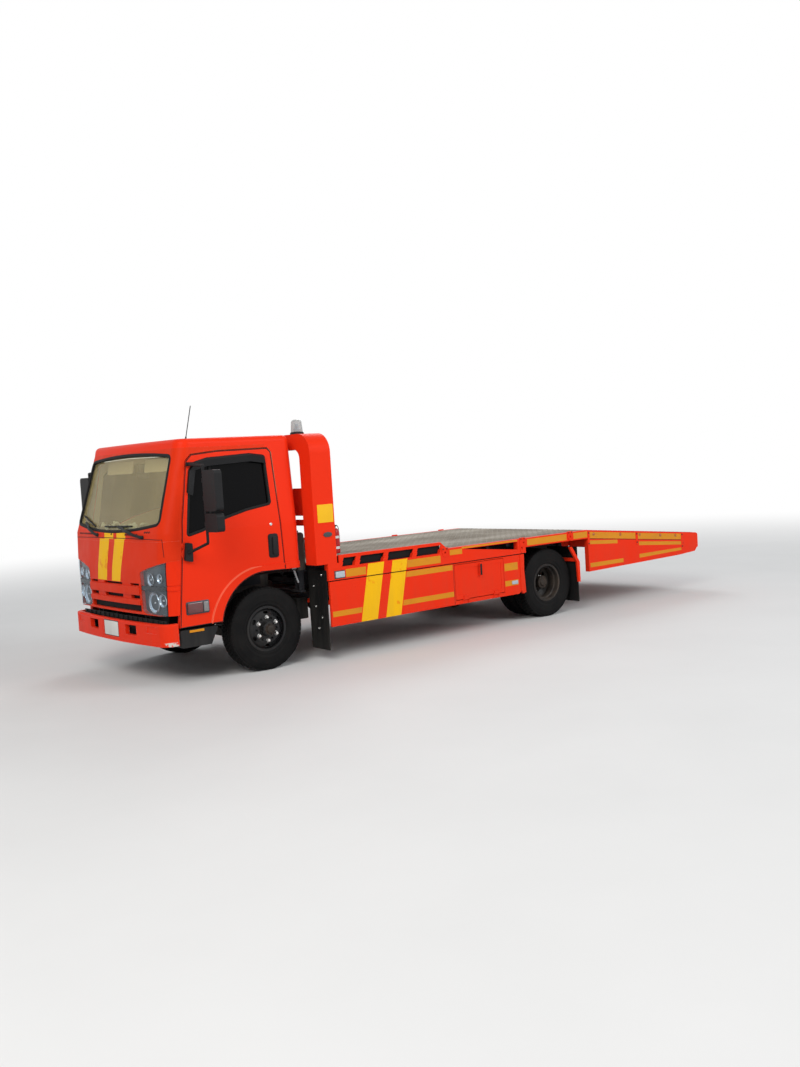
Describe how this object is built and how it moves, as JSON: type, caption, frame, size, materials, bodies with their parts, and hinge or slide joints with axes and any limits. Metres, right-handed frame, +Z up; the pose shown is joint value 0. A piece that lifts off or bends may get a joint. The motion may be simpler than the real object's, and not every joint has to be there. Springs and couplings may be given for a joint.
{
  "type": "flatbed recovery truck",
  "caption": "Orange cab-over recovery truck with a steel flatbed that tilts and slides back, a gantry arch behind the cab and twin rear wheels.",
  "frame": {"origin": "On the ground under the middle of the overall length and width.", "axes": "X points to the front of the truck, Y to its left, Z up."},
  "size_m": [7.83, 2.885, 2.5509],
  "materials": {
    "body_paint": "gloss",
    "chassis_paint": "satin",
    "deck_steel": "worn",
    "tyre_rubber": "matte",
    "rim_paint": "satin",
    "glass": "gloss",
    "black_plastic": "matte",
    "lamp_clear": "gloss",
    "lamp_red": "gloss",
    "amber": "gloss",
    "beige_trim": "matte",
    "seat_fabric": "matte",
    "polished_rod": "gloss",
    "cast_metal": "rough"
  },
  "bodies": {
    "chassis": {"bumper": "body_paint", "chassis_frame": "chassis_paint", "engine_block": "cast_metal", "exhaust": "chassis_paint", "front_axle_beam": "chassis_paint", "fuel_tank": "chassis_paint", "gearbox": "cast_metal", "leaf_springs": "chassis_paint", "mud_guards": "black_plastic", "prop_shaft": "chassis_paint", "rear_axle_housing": "chassis_paint", "side_skirts": "body_paint"},
    "cab": {"cab_rear": "body_paint", "cab_glass": "glass", "windscreen_frame": "body_paint", "cab_roof": "body_paint", "front_panel": "body_paint", "headlamps": "lamp_clear", "cab_floor": "chassis_paint", "cab_steps": "black_plastic", "dashboard": "beige_trim", "steering_wheel": "beige_trim", "seats": "seat_fabric", "grille_backing": "black_plastic", "aerial": "black_plastic"},
    "door_left": {"door_left": "body_paint", "door_glass_left": "glass", "mirror_left": "black_plastic"},
    "knuckle_left": {"knuckle_left": "chassis_paint"},
    "front_wheel_left": {"front_tyre_left": "tyre_rubber", "front_wheel_left": "rim_paint"},
    "rear_wheel_left": {"rear_tyres_left": "tyre_rubber", "rear_wheels_left": "rim_paint"},
    "lift_barrel_left": {"lift_barrel_left": "chassis_paint"},
    "lift_rod_left": {"lift_rod_left": "polished_rod"},
    "locker_door_left": {"locker_door_left": "body_paint"},
    "door_right": {"door_right": "body_paint", "door_glass_right": "glass", "mirror_right": "black_plastic"},
    "knuckle_right": {"knuckle_right": "chassis_paint"},
    "front_wheel_right": {"front_tyre_right": "tyre_rubber", "front_wheel_right": "rim_paint"},
    "rear_wheel_right": {"rear_tyres_right": "tyre_rubber", "rear_wheels_right": "rim_paint"},
    "lift_barrel_right": {"lift_barrel_right": "chassis_paint"},
    "lift_rod_right": {"lift_rod_right": "polished_rod"},
    "locker_door_right": {"locker_door_right": "body_paint"},
    "tilt_frame": {"tilt_frame": "chassis_paint", "slide_barrel": "chassis_paint"},
    "bed": {"deck_plate": "deck_steel", "deck_bearers": "chassis_paint", "side_beams": "body_paint", "tail_frame": "body_paint", "gantry_arch": "body_paint", "beacon": "amber", "slide_rod": "polished_rod", "rear_lamps": "lamp_red", "winch": "chassis_paint", "extinguisher": "lamp_red"}
  },
  "joints": [
    {"name": "cab_tilt", "type": "hinge", "parent": "chassis", "child": "cab", "pos_m": [3.75, 0, 0.65], "axis": [0, 1, 0], "range_deg": [0, 45]},
    {"name": "door_left_swing", "type": "hinge", "parent": "cab", "child": "door_left", "pos_m": [3.641, 0.9995, 1.054], "axis": [0.0997, 0, -0.995], "range_deg": [0, 70]},
    {"name": "door_right_swing", "type": "hinge", "parent": "cab", "child": "door_right", "pos_m": [3.641, -0.9995, 1.054], "axis": [-0.0997, 0, 0.995], "range_deg": [0, 70]},
    {"name": "steer_left", "type": "hinge", "parent": "chassis", "child": "knuckle_left", "pos_m": [2.75, 0.7, 0.4], "axis": [0, 0, 1], "range_deg": [-35, 35]},
    {"name": "steer_right", "type": "hinge", "parent": "chassis", "child": "knuckle_right", "pos_m": [2.75, -0.7, 0.4], "axis": [0, 0, 1], "range_deg": [-35, 35]},
    {"name": "front_wheel_left_spin", "type": "hinge", "parent": "knuckle_left", "child": "front_wheel_left", "pos_m": [2.75, 0.833, 0.4], "axis": [0, 1, 0], "continuous": true},
    {"name": "front_wheel_right_spin", "type": "hinge", "parent": "knuckle_right", "child": "front_wheel_right", "pos_m": [2.75, -0.833, 0.4], "axis": [0, 1, 0], "continuous": true},
    {"name": "rear_wheel_left_spin", "type": "hinge", "parent": "chassis", "child": "rear_wheel_left", "pos_m": [-1.065, 0.825, 0.4], "axis": [0, 1, 0], "continuous": true},
    {"name": "rear_wheel_right_spin", "type": "hinge", "parent": "chassis", "child": "rear_wheel_right", "pos_m": [-1.065, -0.825, 0.4], "axis": [0, 1, 0], "continuous": true},
    {"name": "bed_tilt", "type": "hinge", "parent": "chassis", "child": "tilt_frame", "pos_m": [-1.99, 0, 0.745], "axis": [0, -1, 0], "range_deg": [0, 10]},
    {"name": "bed_slide", "type": "slide", "parent": "tilt_frame", "child": "bed", "axis": [-1, 0, 0], "range_m": [0, 2.4]},
    {"name": "lift_left_swing", "type": "hinge", "parent": "chassis", "child": "lift_barrel_left", "pos_m": [0.19, 0.52, 0.585], "axis": [0, -1, 0], "range_deg": [0, 27.84]},
    {"name": "lift_left_stroke", "type": "slide", "parent": "lift_barrel_left", "child": "lift_rod_left", "axis": [0.981, 0, 0.1942], "range_m": [0, 0.189]},
    {"name": "lift_right_swing", "type": "hinge", "parent": "chassis", "child": "lift_barrel_right", "pos_m": [0.19, -0.52, 0.585], "axis": [0, -1, 0], "range_deg": [0, 27.84]},
    {"name": "lift_right_stroke", "type": "slide", "parent": "lift_barrel_right", "child": "lift_rod_right", "axis": [0.981, 0, 0.1942], "range_m": [0, 0.189]},
    {"name": "locker_door_left_swing", "type": "hinge", "parent": "chassis", "child": "locker_door_left", "pos_m": [0.12, 1.161, 0.394], "axis": [-1, 0, 0], "range_deg": [0, 100]},
    {"name": "locker_door_right_swing", "type": "hinge", "parent": "chassis", "child": "locker_door_right", "pos_m": [0.12, -1.161, 0.394], "axis": [1, 0, 0], "range_deg": [0, 100]}
  ],
  "couplings": [
    {"joint": "steer_right", "follows": "steer_left", "ratio": 1},
    {"joint": "lift_left_swing", "follows": "bed_tilt", "ratio": 2.7815},
    {"joint": "lift_left_stroke", "follows": "bed_tilt", "m_per_rad": 1.0814},
    {"joint": "lift_right_swing", "follows": "bed_tilt", "ratio": 2.7815},
    {"joint": "lift_right_stroke", "follows": "bed_tilt", "m_per_rad": 1.0814}
  ]
}
